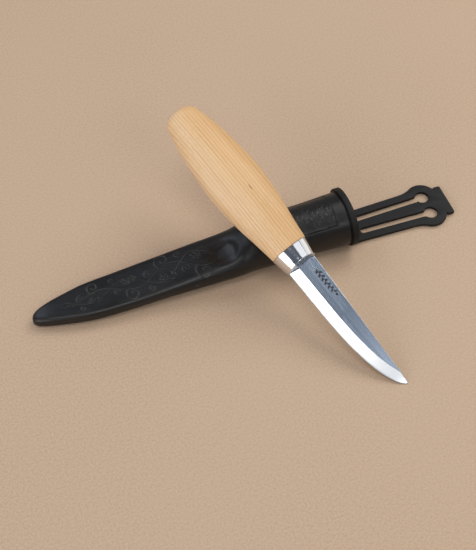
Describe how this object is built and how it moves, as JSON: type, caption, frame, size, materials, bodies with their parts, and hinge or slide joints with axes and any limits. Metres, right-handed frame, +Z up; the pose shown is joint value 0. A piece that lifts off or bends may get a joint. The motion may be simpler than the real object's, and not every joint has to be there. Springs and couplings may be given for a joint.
{
  "type": "whittling knife",
  "caption": "Whittling knife with a barrel wooden handle, steel ferrule and slim straight-backed blade, lying across its moulded belt sheath with a strap hanger.",
  "frame": {"origin": "the middle of the sheath barrel's flat back, on the surface that the sheath lies on", "axes": "+X along the sheath, out of its mouth towards the hanger; +Z up, away from the sheath's back; the knife lies across the barrel with its point towards -Y"},
  "size_m": [0.2473, 0.1689, 0.0692],
  "materials": {
    "blade_steel": "brushed flats, polished bevels",
    "ferrule_steel": "polished",
    "birch": "oiled, satin",
    "sheath_plastic": "semi-gloss, moulded",
    "hanger_plastic": "matte, moulded"
  },
  "bodies": {
    "sheath": {"sheath_body": "sheath_plastic", "hanger_ring": "hanger_plastic"},
    "strap": {"hanger_strap": "hanger_plastic"},
    "knife": {"blade": "blade_steel", "ferrule": "ferrule_steel", "handle": "birch"}
  },
  "joints": [
    {"name": "knife_lift", "type": "slide", "parent": "sheath", "child": "knife", "axis": [0, 0, 1], "range_m": [0, 0.12]},
    {"name": "strap_flex", "type": "hinge", "parent": "sheath", "child": "strap", "pos_m": [0.047, 0, 0.0015], "axis": [0, -1, 0], "range_deg": [0, 90], "stiffness_Nm_per_rad": 0.2}
  ]
}
